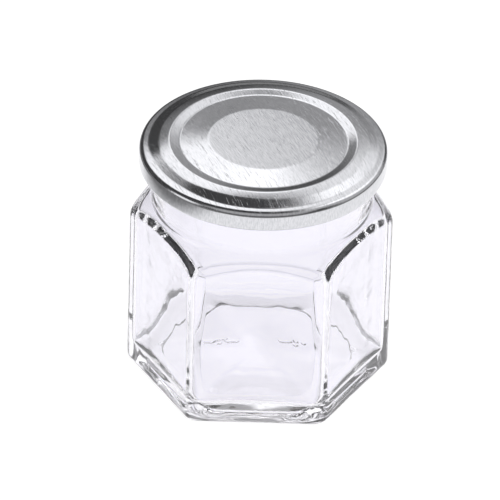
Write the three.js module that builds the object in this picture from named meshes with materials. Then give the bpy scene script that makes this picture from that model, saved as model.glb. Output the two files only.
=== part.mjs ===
// Hexagonal glass jar with a round twist-off lid screwed on. Millimetres, +Z up.
// The origin is at the middle of the base, on the surface that the jar stands on,
// and one flat face of the jar looks along -Y.
import * as THREE from "three";

// Driving sizes of the glass
const FLAT_TO_FLAT = 62;
const CORNER_RADIUS = 4.5;
const INNER_CORNER_RADIUS = 3.3;
const CORNER_WALL = 3.3;
const FACE_HOLLOW = 0.35;
const SHOULDER_FOOT = 48;
const SHOULDER_SLOPE = 0.85;
const SHOULDER_WALL = 2.7;
const OUTER_EASING = 2.5;
const INNER_EASING = 1;
const NECK_RADIUS = 29.3;
const NECK_FILLET = 1.8;
const BORE_RADIUS = 26.4;
const RIM_HEIGHT = 68.7;
const RIM_BEND = 0.9;
const HEEL_RADIUS = 2.1;
const BEARING_WIDTH = 8.6;
const PUSH_UP = 0.55;
const PUSH_UP_POWER = 2.8;

// Driving sizes of the floor inside the jar, which is highest in its middle
const FLOOR_EDGE_HEIGHT = 5;
const FLOOR_DOME = 2.8;
const FILLET_REACH_AT_FACE = 2.7;
const FILLET_REACH_AT_CORNER = 1.5;
const FILLET_RISE_AT_FACE = 7;
const FILLET_RISE_AT_CORNER = 3;
const FILLET_POWER = 2.8;

// Driving sizes of the thread
const THREAD_STARTS = 4;
const THREAD_DEPTH = 1;
const THREAD_HEIGHT = 65.6;
const THREAD_RISE = 1.2;
const THREAD_WIDTH = 1.6;
const THREAD_SPAN = THREE.MathUtils.degToRad(60);
const THREAD_FADE = 1 / 6;

// Driving sizes of the lid
const LID_RADIUS = 33;
const LID_TOP = 71.2;
const LID_BOTTOM = 63.6;
const SHEET = 0.45;
const DISC_RADIUS = 14.7;
const CONE_RADIUS = 22.4;
const STEP_RADIUS = 25;
const BAND_RADIUS = 27.9;
const CREST_RADIUS = 30.5;
const CONE_FALL = 0.85;
const STEP_FALL = 0.3;
const CREST_FALL = 1.85;
const CREST_LEAN = THREE.MathUtils.degToRad(8);
const LID_BEND = 1.4;
const CURL_RADIUS = 0.7;
const LUG_REACH = 0.9;
const LUG_SPAN = THREE.MathUtils.degToRad(16);

const SIDES = 6;
const SIDE_ANGLE = (2 * Math.PI) / SIDES;
const HALF_SIDE = SIDE_ANGLE / 2;
const FACE_DIRECTION = -Math.PI / 2;
const CORNER_REACH = (FLAT_TO_FLAT / 2 - CORNER_RADIUS) / Math.cos(HALF_SIDE) + CORNER_RADIUS;
const EASING_DEPTH = 6;
const WALL_TOP = SHOULDER_FOOT - EASING_DEPTH;
const SHOULDER_STEPS = 9;

// Directions round the jar: close together over each rounded corner, wide apart over each flat face.
function directionsRound() {
  const cornerHalf = THREE.MathUtils.degToRad(4);
  const cornerSteps = 3;
  const faceSteps = 3;
  const directions = [];
  for (let side = 0; side < SIDES; side++) {
    const face = FACE_DIRECTION + side * SIDE_ANGLE;
    const faceHalf = HALF_SIDE - cornerHalf;
    for (let i = -faceSteps; i <= faceSteps; i++) {
      directions.push(face + (faceHalf * i) / faceSteps);
    }
    for (let i = 1; i < 2 * cornerSteps; i++) {
      directions.push(face + faceHalf + (cornerHalf * i) / cornerSteps);
    }
  }
  return directions;
}

// Angle between a direction and the middle of the nearest flat face.
function angleFromFace(direction) {
  const turns = (direction - FACE_DIRECTION) / SIDE_ANGLE;
  return Math.abs(turns - Math.round(turns)) * SIDE_ANGLE;
}

// Distance from the axis to a hexagon with rounded corners.
function hexagonReach(direction, apothem, cornerRadius) {
  const angle = angleFromFace(direction);
  const flatHalf = (apothem - cornerRadius) * Math.tan(HALF_SIDE);
  const flatReach = apothem / Math.cos(angle);
  if (flatReach * Math.sin(angle) <= flatHalf) {
    return flatReach;
  }
  const centre = (apothem - cornerRadius) / Math.cos(HALF_SIDE);
  const off = HALF_SIDE - angle;
  return centre * Math.cos(off) + Math.sqrt(cornerRadius ** 2 - (centre * Math.sin(off)) ** 2);
}

// The smaller of two reaches, with the meeting line eased off.
function easedMin(a, b, easing) {
  const overlap = Math.max(easing - Math.abs(a - b), 0);
  return Math.min(a, b) - overlap ** 2 / (4 * easing);
}

// Points of a quarter bend, as [radius, height].
function bend(centreRadius, centreHeight, radius, fromAngle, toAngle, steps) {
  const points = [];
  for (let i = 0; i <= steps; i++) {
    const angle = fromAngle + ((toAngle - fromAngle) * i) / steps;
    points.push([centreRadius + radius * Math.cos(angle), centreHeight + radius * Math.sin(angle)]);
  }
  return points;
}

// How far the thread stands out of the neck at a direction and a height.
function threadAt(direction, height) {
  const pitch = (2 * Math.PI) / THREAD_STARTS;
  const turn = THREE.MathUtils.euclideanModulo(direction, pitch) / pitch - 0.5;
  const along = (turn * pitch) / THREAD_SPAN;
  const off = (height - THREAD_HEIGHT - along * THREAD_RISE) / THREAD_WIDTH;
  if (Math.abs(along) >= 0.5 || Math.abs(off) >= 1) {
    return 0;
  }
  const fade = Math.min(1, (0.5 - Math.abs(along)) / THREAD_FADE);
  return THREAD_DEPTH * fade * Math.cos((off * Math.PI) / 2) ** 2;
}

// The shoulder is a cone that starts at the jar's corners. This is its reach from the axis at
// a height, moved in by the wall where an inset is given.
function shoulderReach(height, inset) {
  const insetReach = inset * Math.hypot(1, 1 / SHOULDER_SLOPE);
  return CORNER_REACH - (height - SHOULDER_FOOT) / SHOULDER_SLOPE - insetReach;
}

// Height at which the shoulder's cone has come in to a reach.
function shoulderHeight(reach, inset) {
  return SHOULDER_FOOT + (shoulderReach(SHOULDER_FOOT, inset) - reach) * SHOULDER_SLOPE;
}

// Points up or down the wall and shoulder, from the first height to the last.
function wallAndShoulder(edge, inset, easing, firstHeight, lastHeight) {
  const points = [];
  for (let i = 0; i <= SHOULDER_STEPS; i++) {
    const height = THREE.MathUtils.lerp(firstHeight, lastHeight, i / SHOULDER_STEPS);
    points.push([easedMin(edge, shoulderReach(height, inset), easing), height]);
  }
  return points;
}

function jarOutside(direction) {
  const edge = hexagonReach(direction, FLAT_TO_FLAT / 2, CORNER_RADIUS);
  const points = [];
  const bearingInside = edge - HEEL_RADIUS - BEARING_WIDTH;
  for (const part of [0, 0.25, 0.5, 0.75, 1]) {
    points.push([bearingInside * part, PUSH_UP * (1 - part ** 2) ** PUSH_UP_POWER]);
  }
  points.push(...bend(edge - HEEL_RADIUS, HEEL_RADIUS, HEEL_RADIUS, -Math.PI / 2, 0, 4));
  const filletReach = NECK_FILLET / 4;
  const neckFoot = shoulderHeight(NECK_RADIUS + filletReach, 0);
  points.push(...wallAndShoulder(edge, 0, OUTER_EASING, WALL_TOP, neckFoot));
  points.push([NECK_RADIUS + filletReach / 4, neckFoot + NECK_FILLET / 2]);
  points.push([NECK_RADIUS, neckFoot + NECK_FILLET]);
  const threadFoot = THREAD_HEIGHT - THREAD_RISE / 2 - THREAD_WIDTH;
  const threadTop = THREAD_HEIGHT + THREAD_RISE / 2 + THREAD_WIDTH;
  const threadSteps = 6;
  for (let i = 0; i <= threadSteps; i++) {
    const height = THREE.MathUtils.lerp(threadFoot, threadTop, i / threadSteps);
    points.push([NECK_RADIUS + threadAt(direction, height), height]);
  }
  return points;
}

// The hollow's reach: each face is slightly hollowed towards its middle.
function hollowReach(direction) {
  const reach = hexagonReach(direction, FLAT_TO_FLAT / 2 - CORNER_WALL, INNER_CORNER_RADIUS);
  return reach + (FACE_HOLLOW * (1 + Math.cos(SIDES * angleFromFace(direction)))) / 2;
}

function jarInside(direction) {
  const edge = hollowReach(direction);
  const points = [];
  points.push(...bend(NECK_RADIUS - RIM_BEND, RIM_HEIGHT - RIM_BEND, RIM_BEND, 0, Math.PI / 2, 2));
  points.push(...bend(BORE_RADIUS + RIM_BEND, RIM_HEIGHT - RIM_BEND, RIM_BEND, Math.PI / 2, Math.PI, 2));
  const boreFoot = shoulderHeight(BORE_RADIUS, SHOULDER_WALL);
  points.push(...wallAndShoulder(edge, SHOULDER_WALL, INNER_EASING, boreFoot, WALL_TOP));
  const cornerShare = (angleFromFace(direction) / HALF_SIDE) ** 2;
  const filletReach = THREE.MathUtils.lerp(FILLET_REACH_AT_FACE, FILLET_REACH_AT_CORNER, cornerShare);
  const filletRise = THREE.MathUtils.lerp(FILLET_RISE_AT_FACE, FILLET_RISE_AT_CORNER, cornerShare);
  const floorEdge = edge - filletReach;
  const filletTop = FLOOR_EDGE_HEIGHT + filletRise;
  const filletSteps = 7;
  for (let i = 0; i <= filletSteps; i++) {
    const turn = ((Math.PI / 2) * i) / filletSteps;
    const reach = floorEdge + filletReach * Math.abs(Math.cos(turn)) ** (2 / FILLET_POWER);
    points.push([reach, filletTop - filletRise * Math.sin(turn) ** (2 / FILLET_POWER)]);
  }
  for (const part of [0.75, 0.5, 0.25, 0]) {
    points.push([floorEdge * part, FLOOR_EDGE_HEIGHT + FLOOR_DOME * (1 - part ** 2)]);
  }
  return points;
}

function jarSection(direction) {
  return [...jarOutside(direction), ...jarInside(direction)];
}

// The round bend between the lid's top and its skirt, at a distance inside the outer face.
function lidBend(inset, fromAngle, toAngle, steps) {
  const centreRadius = LID_RADIUS - LID_BEND;
  const crestWidth = centreRadius + LID_BEND * Math.sin(CREST_LEAN) - CREST_RADIUS;
  const crestEnd = LID_TOP - CREST_FALL - crestWidth * Math.tan(CREST_LEAN);
  const centreHeight = crestEnd - LID_BEND * Math.cos(CREST_LEAN);
  return bend(centreRadius, centreHeight, LID_BEND - inset, fromAngle, toAngle, steps);
}

// The pressed rings of the top from the outermost to the middle, at a depth below the outer face.
function lidRings(depth) {
  return [
    [CREST_RADIUS, LID_TOP - CREST_FALL - depth],
    [BAND_RADIUS, LID_TOP - CONE_FALL - depth],
    [STEP_RADIUS, LID_TOP - STEP_FALL - depth],
    [CONE_RADIUS, LID_TOP - CONE_FALL - depth],
    [DISC_RADIUS, LID_TOP - depth],
    [0, LID_TOP - depth],
  ];
}

// The lid's outer face from the skirt's foot to the middle of the top.
function lidOutside() {
  return [
    ...bend(LID_RADIUS - CURL_RADIUS, LID_BOTTOM + CURL_RADIUS, CURL_RADIUS, -Math.PI / 2, 0, 3),
    ...lidBend(0, 0, Math.PI / 2 - CREST_LEAN, 5),
    ...lidRings(0),
  ];
}

// The lid's inner face from the middle down to the curl, with a lug at each thread.
function lidInside(direction) {
  const pitch = (2 * Math.PI) / THREAD_STARTS;
  const turn = THREE.MathUtils.euclideanModulo(direction + pitch / 2, pitch) - pitch / 2;
  const lug = Math.abs(turn) < LUG_SPAN / 2 ? LUG_REACH : 0;
  const curlInner = LID_RADIUS - 2 * CURL_RADIUS - lug;
  const curlTop = LID_BOTTOM + 2 * CURL_RADIUS;
  return [
    ...lidRings(SHEET).reverse(),
    ...lidBend(SHEET, Math.PI / 2 - CREST_LEAN, 0, 3),
    [LID_RADIUS - SHEET, curlTop + SHEET],
    [curlInner, curlTop],
    [curlInner, LID_BOTTOM + CURL_RADIUS / 2],
  ];
}

function lidSection(direction) {
  return [...lidInside(direction), ...lidOutside()];
}

// One closed surface from a section at each direction. Each section runs from the axis
// out and back to the axis, so its two end points are shared by all directions.
function solidOfSections(section, directions) {
  const sections = directions.map(section);
  const rows = sections[0].length - 2;
  const places = [];
  const first = sections[0][0];
  const last = sections[0][rows + 1];
  places.push(0, 0, first[1], 0, 0, last[1]);
  sections.forEach((points, i) => {
    for (const [reach, height] of points.slice(1, -1)) {
      places.push(reach * Math.cos(directions[i]), reach * Math.sin(directions[i]), height);
    }
  });
  const at = (column, row) => 2 + (column % directions.length) * rows + row;
  const faces = [];
  for (let i = 0; i < directions.length; i++) {
    faces.push(0, at(i + 1, 0), at(i, 0));
    for (let row = 0; row < rows - 1; row++) {
      faces.push(at(i, row), at(i + 1, row), at(i + 1, row + 1));
      faces.push(at(i, row), at(i + 1, row + 1), at(i, row + 1));
    }
    faces.push(1, at(i, rows - 1), at(i + 1, rows - 1));
  }
  const geometry = new THREE.BufferGeometry();
  geometry.setAttribute("position", new THREE.Float32BufferAttribute(places, 3));
  geometry.setIndex(faces);
  geometry.computeVertexNormals();
  return geometry;
}

function evenDirections(count) {
  return Array.from({ length: count }, (_, i) => (2 * Math.PI * i) / count);
}

function piece(name, geometry, finish) {
  const mesh = new THREE.Mesh(geometry, new THREE.MeshStandardMaterial(finish));
  mesh.name = name;
  return mesh;
}

const jar = new THREE.Group();
jar.add(piece("jar_glass", solidOfSections(jarSection, directionsRound()), {
  color: 0xe9eaf4,
  roughness: 0.02,
  metalness: 0,
}));
jar.add(piece("lid", solidOfSections(lidSection, evenDirections(72)), {
  color: 0xc9c9cc,
  roughness: 0.28,
  metalness: 1,
}));

export default jar;
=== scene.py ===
import math

import bpy
import numpy as np
from mathutils import Matrix, Vector


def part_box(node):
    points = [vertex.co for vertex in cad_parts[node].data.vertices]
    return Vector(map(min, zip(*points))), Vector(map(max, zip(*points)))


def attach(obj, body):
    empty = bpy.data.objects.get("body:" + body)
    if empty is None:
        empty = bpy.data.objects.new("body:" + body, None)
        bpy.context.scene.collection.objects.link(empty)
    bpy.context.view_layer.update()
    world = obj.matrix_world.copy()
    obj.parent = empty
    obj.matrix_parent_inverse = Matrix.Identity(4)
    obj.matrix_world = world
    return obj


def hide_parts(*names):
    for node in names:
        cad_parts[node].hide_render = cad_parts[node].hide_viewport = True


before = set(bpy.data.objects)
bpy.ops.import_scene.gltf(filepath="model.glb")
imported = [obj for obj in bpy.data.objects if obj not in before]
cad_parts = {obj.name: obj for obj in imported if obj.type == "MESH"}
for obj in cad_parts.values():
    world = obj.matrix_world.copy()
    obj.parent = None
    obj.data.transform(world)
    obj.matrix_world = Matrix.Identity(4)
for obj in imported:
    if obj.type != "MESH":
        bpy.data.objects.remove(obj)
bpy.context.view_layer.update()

MM = 0.001
jar_low, jar_high = (np.array(corner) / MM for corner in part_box("jar_glass"))
lid_low, lid_high = (np.array(corner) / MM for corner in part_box("lid"))

# Sizes of the glass in millimetres
FLAT_TO_FLAT = jar_high[1] - jar_low[1]
RIM_HEIGHT = jar_high[2]
CORNER_RADIUS = 4.5
INNER_CORNER_RADIUS = 3.3
CORNER_WALL = 3.3
FACE_HOLLOW = 0.35
SHOULDER_FOOT = 48.0
SHOULDER_SLOPE = 0.85
OUTER_EASING = 2.5
INNER_EASING = 1.0
EASING_DEPTH = 8.0
SHOULDER_WALL = 2.7
NECK_RADIUS = 29.3
NECK_FILLET = 1.8
BORE_RADIUS = 26.4
RIM_BEND = 0.9
HEEL_RADIUS = 2.1

# The underside: a bearing band round a slight hollow, with a fine ledge between them
BEARING_WIDTH = 8.6
BEARING_CORNER_RADIUS = 5.0
LEDGE_WIDTH = 0.6
LEDGE_RISE = 0.5
PUSH_UP = 0.55
PUSH_UP_POWER = 2.8

# Marks raised from the underside: bars as (x, y, half length) and dots as (x, y)
MARK_HEIGHT = 0.35
MARK_HALF_WIDTH = 0.3
MARK_EDGE = 0.2
MARK_BARS = [(-14.0, 3.5, 1.6), (-10.5, 4.4, 1.2), (-7.5, 3.3, 1.4), (8.0, 4.2, 1.3)]
MARK_DOTS = [(-10.5, 2.6), (10.6, 4.4), (12.4, 3.6), (10.6, 2.7)]

# The floor inside, highest in its middle, and the fillet round it
FLOOR_EDGE_HEIGHT = 5.0
FLOOR_DOME = 2.8
FILLET_REACH_AT_FACE = 2.7
FILLET_REACH_AT_CORNER = 1.5
FILLET_RISE_AT_FACE = 7.0
FILLET_RISE_AT_CORNER = 3.0
FILLET_POWER = 2.8

# The thread
THREAD_STARTS = 4
THREAD_DEPTH = 1.0
THREAD_HEIGHT = 65.6
THREAD_RISE = 1.2
THREAD_WIDTH = 1.6
THREAD_SPAN = math.radians(60)
THREAD_FADE = 1 / 6

# The lid
LID_RADIUS = lid_high[0]
LID_TOP = lid_high[2]
LID_BOTTOM = lid_low[2]
SHEET = 0.25
DISC_RADIUS = 14.7
CONE_RADIUS = 22.4
STEP_RADIUS = 25.0
BAND_RADIUS = 27.9
CREST_RADIUS = 30.5
CONE_FALL = 0.85
STEP_FALL = 0.3
CREST_FALL = 1.85
CREST_LEAN = math.radians(8)
LID_BEND = 1.4
LID_SOFTNESS = 0.45
CURL_RADIUS = 0.7
LUG_REACH = 0.9
LUG_SPAN = math.radians(16)

# How finely the meshes are divided, and how far from a bend the rows of a straight stretch keep
CORNER_HALF_ANGLE = math.radians(4.5)
STEPS_PER_FACE = 24
LID_STEPS_ROUND = 288
UNDERSIDE_STEPS = 110
LEDGE_STEPS = 4
HEEL_STEPS = 8
WALL_START = 1.0
WALL_STEPS = 10
SHOULDER_STEPS = 44
NECK_STEPS = 28
RIM_STEPS = 6
BORE_START = 3.0
BORE_END = 1.0
BORE_STEPS = 6
FILLET_STEPS = 33
FLOOR_STEPS = 24
SOFTENED_CORNER_STEPS = 7
LONGEST_ROUNDING = 0.45
LID_BEND_STEPS = 16
LID_INNER_BEND_STEPS = 10
CURL_STEPS = 8
INNER_CURL_STEPS = 12

SIDES = 6
SIDE_ANGLE = 2 * math.pi / SIDES
HALF_SIDE = SIDE_ANGLE / 2
FACE_DIRECTION = -math.pi / 2
CORNER_REACH = (FLAT_TO_FLAT / 2 - CORNER_RADIUS) / math.cos(HALF_SIDE) + CORNER_RADIUS
WALL_TOP = SHOULDER_FOOT - EASING_DEPTH

# The camera: a long lens looking down on the jar, turned by the photograph's slight tilt
VIEW_ELEVATION = math.radians(34.13)
VIEW_ROLL = math.radians(1.69)
VIEW_DISTANCE = 2.413
VIEW_PIVOT = Vector((0, 0, 0.025))
VIEW_SLIDE_RIGHT = -0.002555
VIEW_SLIDE_UP = 0.00879
SENSOR_WIDTH = 36
LENS = 648

# The glass, with its ripples' spacing and depth in metres
GLASS_COLOUR = "#fbfaff"
GLASS_CLEARNESS = 0.975
GLASS_IOR = 1.52
RIPPLE_SPACING = 0.006
RIPPLE_DEPTH = 0.00006

# The metal, and its grain and scratches in metres: length, width and drop down a side
METAL_COLOUR = "#dedee2"
METAL_DARK_COLOUR = "#cecfd3"
METAL_ROUGHNESS = 0.15
ROUGHNESS_SPREAD = 0.04
ROUGHNESS_FROM = 0.3
ROUGHNESS_FULL = 0.7
SHADE_FROM = 0.35
SHADE_FULL = 0.65
METAL_ANISOTROPY = 0.66
GRAIN_DIRECTION = math.radians(-66)
GRAIN_SIZE = (0.0022, 0.00026, 0.0012)
GRAIN_DEPTH = 0.000008
SCRATCH_SIZE = (0.0045, 0.0003, 0.003)
SCRATCH_DEPTH = 0.000016
SCRATCH_FROM = 0.63
SCRATCH_FULL = 0.7

# The lacquer inside the lid
LACQUER_LIGHT = "#ebe8dd"
LACQUER_DARK = "#dedacd"
LACQUER_ROUGHNESS = 0.4
LACQUER_MOTTLE = 0.004
LEAST_FACING_IN = 0.5

# The floor, and its lit panel: where it is fully lit, how far it fades, and its two brightnesses
FLOOR_COLOUR = "#a8a8a8"
FLOOR_ROUGHNESS = 0.6
FLOOR_HALF_WIDTH = 3.0
FLOOR_GAP = 0.0002
PANEL_LEFT = -0.08
PANEL_RIGHT = 0.13
PANEL_FRONT = -0.15
PANEL_BACK = 0.19
PANEL_FADE = 0.05
PANEL_LIT = 0.9
PANEL_DARK = 0.03

# Soft boxes seen from the jar: degrees, azimuth rightwards from straight behind, sizes as tangents
AMBIENT = 0.08
LEAST_DEPTH = 0.001
LEAST_FACING = 0.05
SOFT_BOXES = [
    dict(azimuth=-15, elevation=44, half_width=0.18, half_height=0.14, edge=0.1, brightness=1.6, turn=-6),
    dict(azimuth=42, elevation=48, half_width=0.33, half_height=0.17, edge=0.34, brightness=1.3, turn=23),
    dict(azimuth=79, elevation=25, half_width=0.38, half_height=0.82, edge=0.5, brightness=0.62, turn=2),
    dict(azimuth=-108, elevation=14, half_width=0.08, half_height=0.12, edge=0.3, brightness=1.5, turn=-2),
    dict(azimuth=6, elevation=22.7, half_width=0.23, half_height=0.08, edge=0.19, brightness=0.4, turn=-46),
    dict(azimuth=180, elevation=42, half_width=0.6, half_height=0.3, edge=0.5, brightness=0.5, turn=0),
]

# Bounces of light, enough for it to get through both walls and round the base
BOUNCES = 24
GLOSSY_BOUNCES = 8


def place_camera():
    """A long lens that looks down on the jar from its front."""
    forward = Vector((0, math.cos(VIEW_ELEVATION), -math.sin(VIEW_ELEVATION)))
    level_right = Vector((1, 0, 0))
    level_up = level_right.cross(forward)
    right = level_right * math.cos(VIEW_ROLL) + level_up * math.sin(VIEW_ROLL)
    up = level_up * math.cos(VIEW_ROLL) - level_right * math.sin(VIEW_ROLL)
    eye = VIEW_PIVOT - forward * VIEW_DISTANCE
    aim = VIEW_PIVOT + right * VIEW_SLIDE_RIGHT + up * VIEW_SLIDE_UP
    forward = (aim - eye).normalized()
    right = forward.cross(up).normalized()
    up = right.cross(forward)
    camera = bpy.data.objects.new("camera", bpy.data.cameras.new("camera"))
    camera.data.sensor_width = SENSOR_WIDTH
    camera.data.lens = LENS
    camera.data.clip_end = 20
    camera.matrix_world = Matrix.Translation(eye) @ Matrix((right, up, -forward)).transposed().to_4x4()
    bpy.context.collection.objects.link(camera)
    bpy.context.scene.camera = camera


def directions_round():
    """Directions round the jar: close together over each corner, wide apart over each face."""
    face_half = HALF_SIDE - CORNER_HALF_ANGLE
    corner_end = face_half + 2 * CORNER_HALF_ANGLE
    face = np.linspace(-face_half, face_half, STEPS_PER_FACE, endpoint=False)
    corner = np.linspace(face_half, corner_end, STEPS_PER_FACE, endpoint=False)
    one_side = np.concatenate([face, corner])
    return np.concatenate([FACE_DIRECTION + i * SIDE_ANGLE + one_side for i in range(SIDES)])


def angle_from_face(direction):
    """Angle between a direction and the middle of the nearest flat face."""
    turns = (direction - FACE_DIRECTION) / SIDE_ANGLE
    return np.abs(turns - np.round(turns)) * SIDE_ANGLE


def hexagon_reach(direction, apothem, corner_radius):
    """Distance from the axis to a hexagon with rounded corners."""
    angle = angle_from_face(direction)
    flat_half = (apothem - corner_radius) * math.tan(HALF_SIDE)
    flat_reach = apothem / np.cos(angle)
    centre = (apothem - corner_radius) / math.cos(HALF_SIDE)
    off = HALF_SIDE - angle
    inside = np.maximum(corner_radius**2 - (centre * np.sin(off)) ** 2, 0)
    corner_reach = centre * np.cos(off) + np.sqrt(inside)
    return np.where(flat_reach * np.sin(angle) <= flat_half, flat_reach, corner_reach)


def eased_min(a, b, easing):
    """The smaller of two reaches, with the meeting line eased off."""
    overlap = np.maximum(easing - np.abs(a - b), 0)
    return np.minimum(a, b) - overlap**2 / (4 * easing)


def bend(centre_reach, centre_height, radius, from_angle, to_angle, steps):
    """Rows of a round bend, as (reach, height)."""
    angles = np.radians(np.linspace(from_angle, to_angle, steps + 1))
    return [(centre_reach + radius * math.cos(a), centre_height + radius * math.sin(a)) for a in angles]


def shoulder_reach(height, inset):
    """The shoulder is a cone that starts at the jar's corners."""
    inset_reach = inset * math.hypot(1, 1 / SHOULDER_SLOPE)
    return CORNER_REACH - (height - SHOULDER_FOOT) / SHOULDER_SLOPE - inset_reach


def shoulder_height(reach, inset):
    """The height at which the shoulder has a given reach."""
    return SHOULDER_FOOT + (shoulder_reach(SHOULDER_FOOT, inset) - reach) * SHOULDER_SLOPE


def thread_at(direction, height):
    """How far the thread stands out of the neck."""
    pitch = 2 * math.pi / THREAD_STARTS
    turn = np.mod(direction, pitch) / pitch - 0.5
    along = turn * pitch / THREAD_SPAN
    off = (height - THREAD_HEIGHT - along * THREAD_RISE) / THREAD_WIDTH
    fade = np.clip((0.5 - np.abs(along)) / THREAD_FADE, 0, 1)
    return THREAD_DEPTH * fade * np.cos(np.clip(off, -1, 1) * math.pi / 2) ** 2


def mark_at(x, y):
    """How far the raised marks stand down from the underside."""
    off = np.full(np.broadcast(x, y).shape, np.inf)
    for bar_x, bar_y, half_length in MARK_BARS:
        beyond = np.maximum(np.abs(x - bar_x) - half_length, 0)
        off = np.minimum(off, np.hypot(beyond, y - bar_y))
    for dot_x, dot_y in MARK_DOTS:
        off = np.minimum(off, np.hypot(x - dot_x, y - dot_y))
    share = np.clip((MARK_HALF_WIDTH + MARK_EDGE - off) / MARK_EDGE, 0, 1)
    return MARK_HEIGHT * share * share * (3 - 2 * share)


def underside_rows(direction, edge):
    """From the middle of the underside out to the wall's foot."""
    bearing_edge = FLAT_TO_FLAT / 2 - HEEL_RADIUS - BEARING_WIDTH
    hollow = hexagon_reach(direction, bearing_edge, BEARING_CORNER_RADIUS)
    rows = []
    for part in np.linspace(0, 1, UNDERSIDE_STEPS):
        reach = hollow * part
        mark = mark_at(reach * np.cos(direction), reach * np.sin(direction))
        rows.append((reach, LEDGE_RISE + PUSH_UP * (1 - part**2) ** PUSH_UP_POWER - mark))
    for share in np.linspace(1 / LEDGE_STEPS, 1, LEDGE_STEPS):
        rise = LEDGE_RISE * (1 + math.cos(math.pi * share)) / 2
        rows.append((hollow + LEDGE_WIDTH * share, rise))
    return rows + bend(edge - HEEL_RADIUS, HEEL_RADIUS, HEEL_RADIUS, -90, 0, HEEL_STEPS)


def outside_rows(direction, edge):
    """Up the wall, the shoulder and the neck to the rim."""
    wall_heights = np.linspace(HEEL_RADIUS + WALL_START, WALL_TOP, WALL_STEPS)
    rows = [(edge, height) for height in wall_heights[:-1]]
    fillet_reach = NECK_FILLET / 4
    neck_foot = shoulder_height(NECK_RADIUS + fillet_reach, 0)
    for height in np.linspace(WALL_TOP, neck_foot, SHOULDER_STEPS):
        rows.append((eased_min(edge, shoulder_reach(height, 0), OUTER_EASING), height))
    for share in (0.25, 0.5, 0.75):
        rows.append((NECK_RADIUS + fillet_reach * (1 - share) ** 2, neck_foot + NECK_FILLET * share))
    neck_top = RIM_HEIGHT - RIM_BEND
    for height in np.linspace(neck_foot + NECK_FILLET, neck_top, NECK_STEPS, endpoint=False):
        rows.append((NECK_RADIUS + thread_at(direction, height), height))
    rows += bend(NECK_RADIUS - RIM_BEND, neck_top, RIM_BEND, 0, 90, RIM_STEPS)
    return rows + bend(BORE_RADIUS + RIM_BEND, neck_top, RIM_BEND, 90, 180, RIM_STEPS)


def hollow_reach(direction):
    """The hollow's reach: each face is slightly hollowed towards its middle."""
    reach = hexagon_reach(direction, FLAT_TO_FLAT / 2 - CORNER_WALL, INNER_CORNER_RADIUS)
    return reach + FACE_HOLLOW * (1 + np.cos(SIDES * angle_from_face(direction))) / 2


def inside_rows(direction):
    """Down the bore and the inner wall, round the fillet and in to the middle of the floor."""
    inner = hollow_reach(direction)
    bore_foot = shoulder_height(BORE_RADIUS, SHOULDER_WALL)
    bore_heights = np.linspace(RIM_HEIGHT - BORE_START, bore_foot + BORE_END, BORE_STEPS)
    rows = [(BORE_RADIUS, height) for height in bore_heights]
    for height in np.linspace(bore_foot, WALL_TOP, SHOULDER_STEPS):
        rows.append((eased_min(inner, shoulder_reach(height, SHOULDER_WALL), INNER_EASING), height))
    corner_share = (angle_from_face(direction) / HALF_SIDE) ** 2
    reach_change = FILLET_REACH_AT_CORNER - FILLET_REACH_AT_FACE
    rise_change = FILLET_RISE_AT_CORNER - FILLET_RISE_AT_FACE
    fillet_reach = FILLET_REACH_AT_FACE + reach_change * corner_share
    fillet_rise = FILLET_RISE_AT_FACE + rise_change * corner_share
    floor_edge = inner - fillet_reach
    fillet_top = FLOOR_EDGE_HEIGHT + fillet_rise
    for share in np.linspace(0, 1, WALL_STEPS)[1:-1]:
        rows.append((inner, WALL_TOP + (fillet_top - WALL_TOP) * share))
    for turn in np.radians(np.linspace(0, 90, FILLET_STEPS)):
        reach_share = abs(math.cos(turn)) ** (2 / FILLET_POWER)
        fall_share = math.sin(turn) ** (2 / FILLET_POWER)
        rows.append((floor_edge + fillet_reach * reach_share, fillet_top - fillet_rise * fall_share))
    for part in np.linspace(1, 0, FLOOR_STEPS)[1:]:
        rows.append((floor_edge * part, FLOOR_EDGE_HEIGHT + FLOOR_DOME * (1 - part**2)))
    return rows


def jar_rows(direction):
    """The jar's section at every direction, from the underside's middle round to the floor's."""
    edge = hexagon_reach(direction, FLAT_TO_FLAT / 2, CORNER_RADIUS)
    return underside_rows(direction, edge) + outside_rows(direction, edge) + inside_rows(direction)


def rounded(points, radius):
    """A line through the points with each corner rounded off."""
    line = [points[0]]
    for before, corner, after in zip(points, points[1:], points[2:]):
        corner = np.array(corner, float)
        back = np.array(before, float) - corner
        ahead = np.array(after, float) - corner
        back_length = np.linalg.norm(back)
        ahead_length = np.linalg.norm(ahead)
        reach = min(radius, back_length * LONGEST_ROUNDING, ahead_length * LONGEST_ROUNDING)
        start = corner + back / back_length * reach
        end = corner + ahead / ahead_length * reach
        for share in np.linspace(0, 1, SOFTENED_CORNER_STEPS):
            point = start * (1 - share) ** 2 + corner * 2 * share * (1 - share) + end * share**2
            line.append((float(point[0]), float(point[1])))
    line.append(points[-1])
    return line


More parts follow.
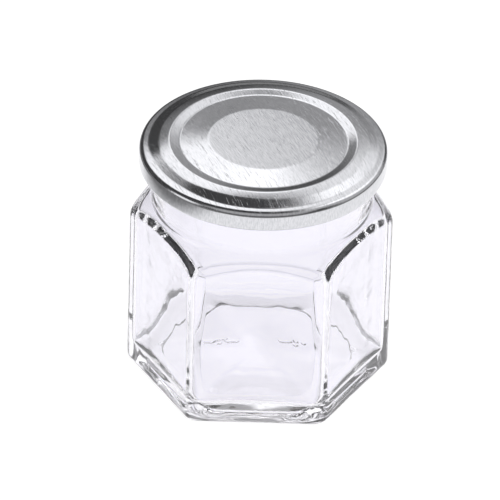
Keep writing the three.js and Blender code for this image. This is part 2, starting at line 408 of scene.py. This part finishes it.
def lid_rows(direction):
    """The lid's section at every direction, from the underside's middle round to the top's."""
    bend_reach = LID_RADIUS - LID_BEND
    crest_end = bend_reach + LID_BEND * math.sin(CREST_LEAN)
    crest_end_height = LID_TOP - CREST_FALL - (crest_end - CREST_RADIUS) * math.tan(CREST_LEAN)
    bend_height = crest_end_height - LID_BEND * math.cos(CREST_LEAN)
    top = rounded([
        (crest_end, crest_end_height),
        (CREST_RADIUS, LID_TOP - CREST_FALL),
        (BAND_RADIUS, LID_TOP - CONE_FALL),
        (STEP_RADIUS, LID_TOP - STEP_FALL),
        (CONE_RADIUS, LID_TOP - CONE_FALL),
        (DISC_RADIUS, LID_TOP),
        (0, LID_TOP),
    ], LID_SOFTNESS)
    lean_end = 90 - math.degrees(CREST_LEAN)
    curl_centre = LID_RADIUS - CURL_RADIUS
    curl_height = LID_BOTTOM + CURL_RADIUS
    outside = bend(curl_centre, curl_height, CURL_RADIUS, -90, 0, CURL_STEPS)
    outside += bend(bend_reach, bend_height, LID_BEND, 0, lean_end, LID_BEND_STEPS)
    outside += top[1:]
    under = [(reach, height - SHEET) for reach, height in reversed(top) if reach < CREST_RADIUS]
    under += bend(bend_reach, bend_height, LID_BEND - SHEET, lean_end, 0, LID_INNER_BEND_STEPS)
    pitch = 2 * math.pi / THREAD_STARTS
    turn = np.mod(direction + pitch / 2, pitch) - pitch / 2
    lug = LUG_REACH * np.clip((LUG_SPAN / 2 - np.abs(turn)) / (LUG_SPAN / 8), 0, 1)
    under.append((LID_RADIUS - SHEET, LID_BOTTOM + 3 * CURL_RADIUS))
    for reach, height in bend(0, curl_height, CURL_RADIUS, 90, 270, INNER_CURL_STEPS)[:-1]:
        under.append((curl_centre + reach + lug * reach / CURL_RADIUS, height))
    return under + outside


def shell(name, rows, direction):
    """A closed mesh from rows that start and end on the axis."""
    count = len(direction)
    inner_rows = rows[1:-1]
    reach = np.array([np.broadcast_to(r, count) for r, _ in inner_rows])
    height = np.array([np.broadcast_to(h, count) for _, h in inner_rows])
    rings = np.stack([reach * np.cos(direction), reach * np.sin(direction), height], axis=-1)
    ends = [[0, 0, float(np.max(rows[0][1]))], [0, 0, float(np.max(rows[-1][1]))]]
    points = np.concatenate([ends, rings.reshape(-1, 3)]) * MM
    here = np.arange(count)
    there = np.roll(here, -1)
    faces = []
    for row in range(len(inner_rows) - 1):
        low = 2 + row * count
        high = low + count
        faces += np.stack([low + here, low + there, high + there, high + here], axis=-1).tolist()
    faces += np.stack([np.zeros(count, int), 2 + there, 2 + here], axis=-1).tolist()
    top = 2 + (len(inner_rows) - 1) * count
    faces += np.stack([np.ones(count, int), top + here, top + there], axis=-1).tolist()
    mesh = bpy.data.meshes.new(name)
    mesh.from_pydata(points.tolist(), [], faces)
    mesh.shade_smooth()
    mesh.update()
    piece = bpy.data.objects.new(name, mesh)
    bpy.context.collection.objects.link(piece)
    return piece


def linear(hex_colour):
    """A colour written as sRGB hex, as Blender's linear red, green, blue and alpha."""
    channels = [int(hex_colour[i:i + 2], 16) / 255 for i in (1, 3, 5)]
    return (*[c / 12.92 if c <= 0.04045 else ((c + 0.055) / 1.055) ** 2.4 for c in channels], 1.0)


def add(tree, kind, inputs=None, **settings):
    """Adds a node with its settings, and sets or links its inputs."""
    node = tree.nodes.new(kind)
    for name, value in settings.items():
        setattr(node, name, value)
    for name, value in (inputs or {}).items():
        if isinstance(value, bpy.types.NodeSocket):
            tree.links.new(value, node.inputs[name])
        else:
            node.inputs[name].default_value = value
    return node


def new_material(name):
    """An empty material and its node tree."""
    material = bpy.data.materials.new(name)
    material.use_nodes = True
    material.node_tree.nodes.clear()
    return material, material.node_tree


def soda_lime_glass():
    """Container glass pressed and blown in a metal mould: clear, with faint slow ripples that
    make the lines seen through it waver."""
    material, tree = new_material("soda_lime_glass_moulded")
    place = add(tree, "ShaderNodeTexCoord").outputs["Object"]
    ripple = add(tree, "ShaderNodeTexNoise", {"Vector": place, "Scale": 1 / RIPPLE_SPACING, "Detail": 1.0})
    bump = add(tree, "ShaderNodeBump", {"Height": ripple.outputs["Fac"], "Distance": RIPPLE_DEPTH})
    glass = add(tree, "ShaderNodeBsdfPrincipled", {
        "Base Color": linear(GLASS_COLOUR),
        "Roughness": 0.0,
        "IOR": GLASS_IOR,
        "Transmission Weight": GLASS_CLEARNESS,
        "Normal": bump.outputs[0],
    })
    add(tree, "ShaderNodeOutputMaterial", {"Surface": glass.outputs["BSDF"]})
    return material


def streaks(tree, along, size, detail):
    """Noise drawn out into streaks of a size: length along the grain, width across it, and drop
    down a side."""
    scale = tuple(1 / length for length in size)
    place = add(tree, "ShaderNodeVectorMath", {0: along, 1: scale}, operation="MULTIPLY").outputs[0]
    noise = add(tree, "ShaderNodeTexNoise", {"Vector": place, "Scale": 1.0, "Detail": detail})
    return noise.outputs["Fac"]


def brushed_tinplate():
    """Tin-plated steel sheet, rolled with a fine straight grain that draws highlights out
    sideways, with a few longer scratches. The real grain is some 0.05 mm wide, too fine to show,
    so it and the scratches are drawn about five times as wide."""
    material, tree = new_material("tinplate_brushed")
    place = add(tree, "ShaderNodeTexCoord").outputs["Object"]
    along = add(tree, "ShaderNodeVectorRotate", {"Vector": place, "Angle": -GRAIN_DIRECTION},
                rotation_type="Z_AXIS").outputs[0]
    grain = streaks(tree, along, GRAIN_SIZE, 2.0)
    scratch = streaks(tree, along, SCRATCH_SIZE, 3.0)
    sharp = add(tree, "ShaderNodeMapRange", {
        "Value": scratch,
        "From Min": SCRATCH_FROM,
        "From Max": SCRATCH_FULL,
    })
    grained = add(tree, "ShaderNodeBump", {"Height": grain, "Distance": GRAIN_DEPTH})
    scratched = add(tree, "ShaderNodeBump", {
        "Height": sharp.outputs["Result"],
        "Distance": SCRATCH_DEPTH,
        "Normal": grained.outputs[0],
    })
    roughness = add(tree, "ShaderNodeMapRange", {
        "Value": grain,
        "From Min": ROUGHNESS_FROM,
        "From Max": ROUGHNESS_FULL,
        "To Min": METAL_ROUGHNESS - ROUGHNESS_SPREAD,
        "To Max": METAL_ROUGHNESS + ROUGHNESS_SPREAD,
    })
    across = GRAIN_DIRECTION + math.pi / 2
    tangent = add(tree, "ShaderNodeCombineXYZ", {"X": math.cos(across), "Y": math.sin(across), "Z": 0.0})
    shade = add(tree, "ShaderNodeMapRange", {"Value": grain, "From Min": SHADE_FROM, "From Max": SHADE_FULL})
    colour = add(tree, "ShaderNodeValToRGB", {"Fac": shade.outputs["Result"]})
    colour.color_ramp.elements[0].color = linear(METAL_DARK_COLOUR)
    colour.color_ramp.elements[1].color = linear(METAL_COLOUR)
    metal = add(tree, "ShaderNodeBsdfPrincipled", {
        "Base Color": colour.outputs["Color"],
        "Metallic": 1.0,
        "Roughness": roughness.outputs["Result"],
        "Anisotropic": METAL_ANISOTROPY,
        "Tangent": tangent.outputs[0],
        "Normal": scratched.outputs[0],
    })
    add(tree, "ShaderNodeOutputMaterial", {"Surface": metal.outputs["BSDF"]})
    return material


def lacquered_inside():
    """The lid's inner side: sheet roller-coated with a cream lacquer and stoved, which leaves it
    smooth and satin, with a faint mottle."""
    material, tree = new_material("tinplate_lacquered_cream")
    place = add(tree, "ShaderNodeTexCoord").outputs["Object"]
    mottle = add(tree, "ShaderNodeTexNoise", {"Vector": place, "Scale": 1 / LACQUER_MOTTLE, "Detail": 2.0})
    shade = add(tree, "ShaderNodeValToRGB", {"Fac": mottle.outputs["Fac"]})
    shade.color_ramp.elements[0].color = linear(LACQUER_LIGHT)
    shade.color_ramp.elements[1].color = linear(LACQUER_DARK)
    lacquer = add(tree, "ShaderNodeBsdfPrincipled", {
        "Base Color": shade.outputs["Color"],
        "Roughness": LACQUER_ROUGHNESS,
    })
    add(tree, "ShaderNodeOutputMaterial", {"Surface": lacquer.outputs["BSDF"]})
    return material


def line_inside(lid):
    """Gives the faces of the lid's inner side their own finish."""
    lid.data.materials.append(lacquered_inside())
    above_curl = (LID_BOTTOM + 2 * CURL_RADIUS) * MM
    for face in lid.data.polygons:
        out = Vector((face.center.x, face.center.y, 0)).normalized()
        looks_down = face.normal.z < -LEAST_FACING_IN and face.center.z > above_curl
        if looks_down or face.normal.dot(out) < -LEAST_FACING_IN:
            face.material_index = 1


def fading(tree, away, half, edge):
    """One up to a half width, falling softly to nothing over an edge."""
    return add(tree, "ShaderNodeMapRange", {
        "Value": away,
        "From Min": half,
        "From Max": half + edge,
        "To Min": 1.0,
        "To Max": 0.0,
    }, interpolation_type="SMOOTHSTEP").outputs["Result"]


def lit_along(tree, place, axis, low, high):
    """One on the lit panel along an axis, fading to nothing on both sides."""
    at = add(tree, "ShaderNodeSeparateXYZ", {0: place}).outputs[axis]
    middle = (low + high) / 2
    half = (high - low) / 2
    off = add(tree, "ShaderNodeMath", {0: at, 1: middle}, operation="SUBTRACT").outputs[0]
    away = add(tree, "ShaderNodeMath", {0: off}, operation="ABSOLUTE").outputs[0]
    return fading(tree, away, half, PANEL_FADE)


def pale_floor():
    """A cast sheet of opal acrylic with a satin face, lit from below round the jar: white without
    a shadow there, and dark enough farther off to draw the glass's edges."""
    material, tree = new_material("floor_acrylic_lit")
    place = add(tree, "ShaderNodeTexCoord").outputs["Object"]
    across = lit_along(tree, place, "X", PANEL_LEFT, PANEL_RIGHT)
    deep = lit_along(tree, place, "Y", PANEL_FRONT, PANEL_BACK)
    lit = add(tree, "ShaderNodeMath", {0: across, 1: deep}, operation="MULTIPLY").outputs[0]
    glow = add(tree, "ShaderNodeMapRange", {"Value": lit, "To Min": PANEL_DARK, "To Max": PANEL_LIT})
    acrylic = add(tree, "ShaderNodeBsdfPrincipled", {
        "Base Color": linear(FLOOR_COLOUR),
        "Roughness": FLOOR_ROUGHNESS,
        "Emission Color": linear("#ffffff"),
        "Emission Strength": glow.outputs["Result"],
    })
    add(tree, "ShaderNodeOutputMaterial", {"Surface": acrylic.outputs["BSDF"]})
    mesh = bpy.data.meshes.new("floor")
    half = FLOOR_HALF_WIDTH
    corners = [(-half, -half, 0), (half, -half, 0), (half, half, 0), (-half, half, 0)]
    mesh.from_pydata(corners, [], [(0, 1, 2, 3)])
    mesh.materials.append(material)
    floor = bpy.data.objects.new("floor", mesh)
    floor.location.z = -FLOOR_GAP
    bpy.context.collection.objects.link(floor)


def along_axis(tree, way, axis):
    """How far a direction goes along an axis."""
    return add(tree, "ShaderNodeVectorMath", {0: way, 1: axis}, operation="DOT_PRODUCT").outputs["Value"]


def soft_box(tree, way, azimuth, elevation, half_width, half_height, edge, brightness, turn):
    """The light of one soft box in each direction, with soft edges on a plane facing the jar."""
    a, e, t = math.radians(azimuth), math.radians(elevation), math.radians(turn)
    towards = Vector((math.sin(a) * math.cos(e), math.cos(a) * math.cos(e), math.sin(e)))
    level = Vector((math.cos(a), -math.sin(a), 0))
    upright = level.cross(towards)
    sideways = level * math.cos(t) + upright * math.sin(t)
    upward = upright * math.cos(t) - level * math.sin(t)
    facing = along_axis(tree, way, towards)
    depth = add(tree, "ShaderNodeMath", {0: facing, 1: LEAST_DEPTH}, operation="MAXIMUM").outputs[0]
    light = add(tree, "ShaderNodeMath", {0: facing, 1: LEAST_FACING}, operation="GREATER_THAN").outputs[0]
    for axis, half in ((sideways, half_width), (upward, half_height)):
        off = along_axis(tree, way, axis)
        slant = add(tree, "ShaderNodeMath", {0: off, 1: depth}, operation="DIVIDE").outputs[0]
        away = add(tree, "ShaderNodeMath", {0: slant}, operation="ABSOLUTE").outputs[0]
        share = fading(tree, away, half, edge)
        light = add(tree, "ShaderNodeMath", {0: light, 1: share}, operation="MULTIPLY").outputs[0]
    return add(tree, "ShaderNodeMath", {0: light, 1: float(brightness)}, operation="MULTIPLY").outputs[0]


def light_studio():
    """The world as a dim room with soft boxes round the jar."""
    world = bpy.data.worlds.new("studio")
    bpy.context.scene.world = world
    world.use_nodes = True
    tree = world.node_tree
    tree.nodes.clear()
    way = add(tree, "ShaderNodeTexCoord").outputs["Generated"]
    total = AMBIENT
    for box in SOFT_BOXES:
        light = soft_box(tree, way, **box)
        total = add(tree, "ShaderNodeMath", {0: total, 1: light}, operation="ADD").outputs[0]
    background = add(tree, "ShaderNodeBackground", {"Strength": total})
    add(tree, "ShaderNodeOutputWorld", {"Surface": background.outputs[0]})


def dress(piece, node, material):
    """Gives a piece its material and puts it in the place of a node's plain solid."""
    piece.data.materials.append(material)
    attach(piece, "root")
    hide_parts(node)


place_camera()
pale_floor()
light_studio()

jar_directions = directions_round()
hexagonal_jar = shell("hexagonal_jar", jar_rows(jar_directions), jar_directions)
dress(hexagonal_jar, "jar_glass", soda_lime_glass())
lid_directions = np.linspace(0, 2 * math.pi, LID_STEPS_ROUND, endpoint=False)
lid = shell("pressed_lid", lid_rows(lid_directions), lid_directions)
dress(lid, "lid", brushed_tinplate())
line_inside(lid)

scene = bpy.context.scene
scene.view_settings.view_transform = "Standard"
scene.cycles.max_bounces = BOUNCES
scene.cycles.transmission_bounces = BOUNCES
scene.cycles.glossy_bounces = GLOSSY_BOUNCES
scene.cycles.use_denoising = True
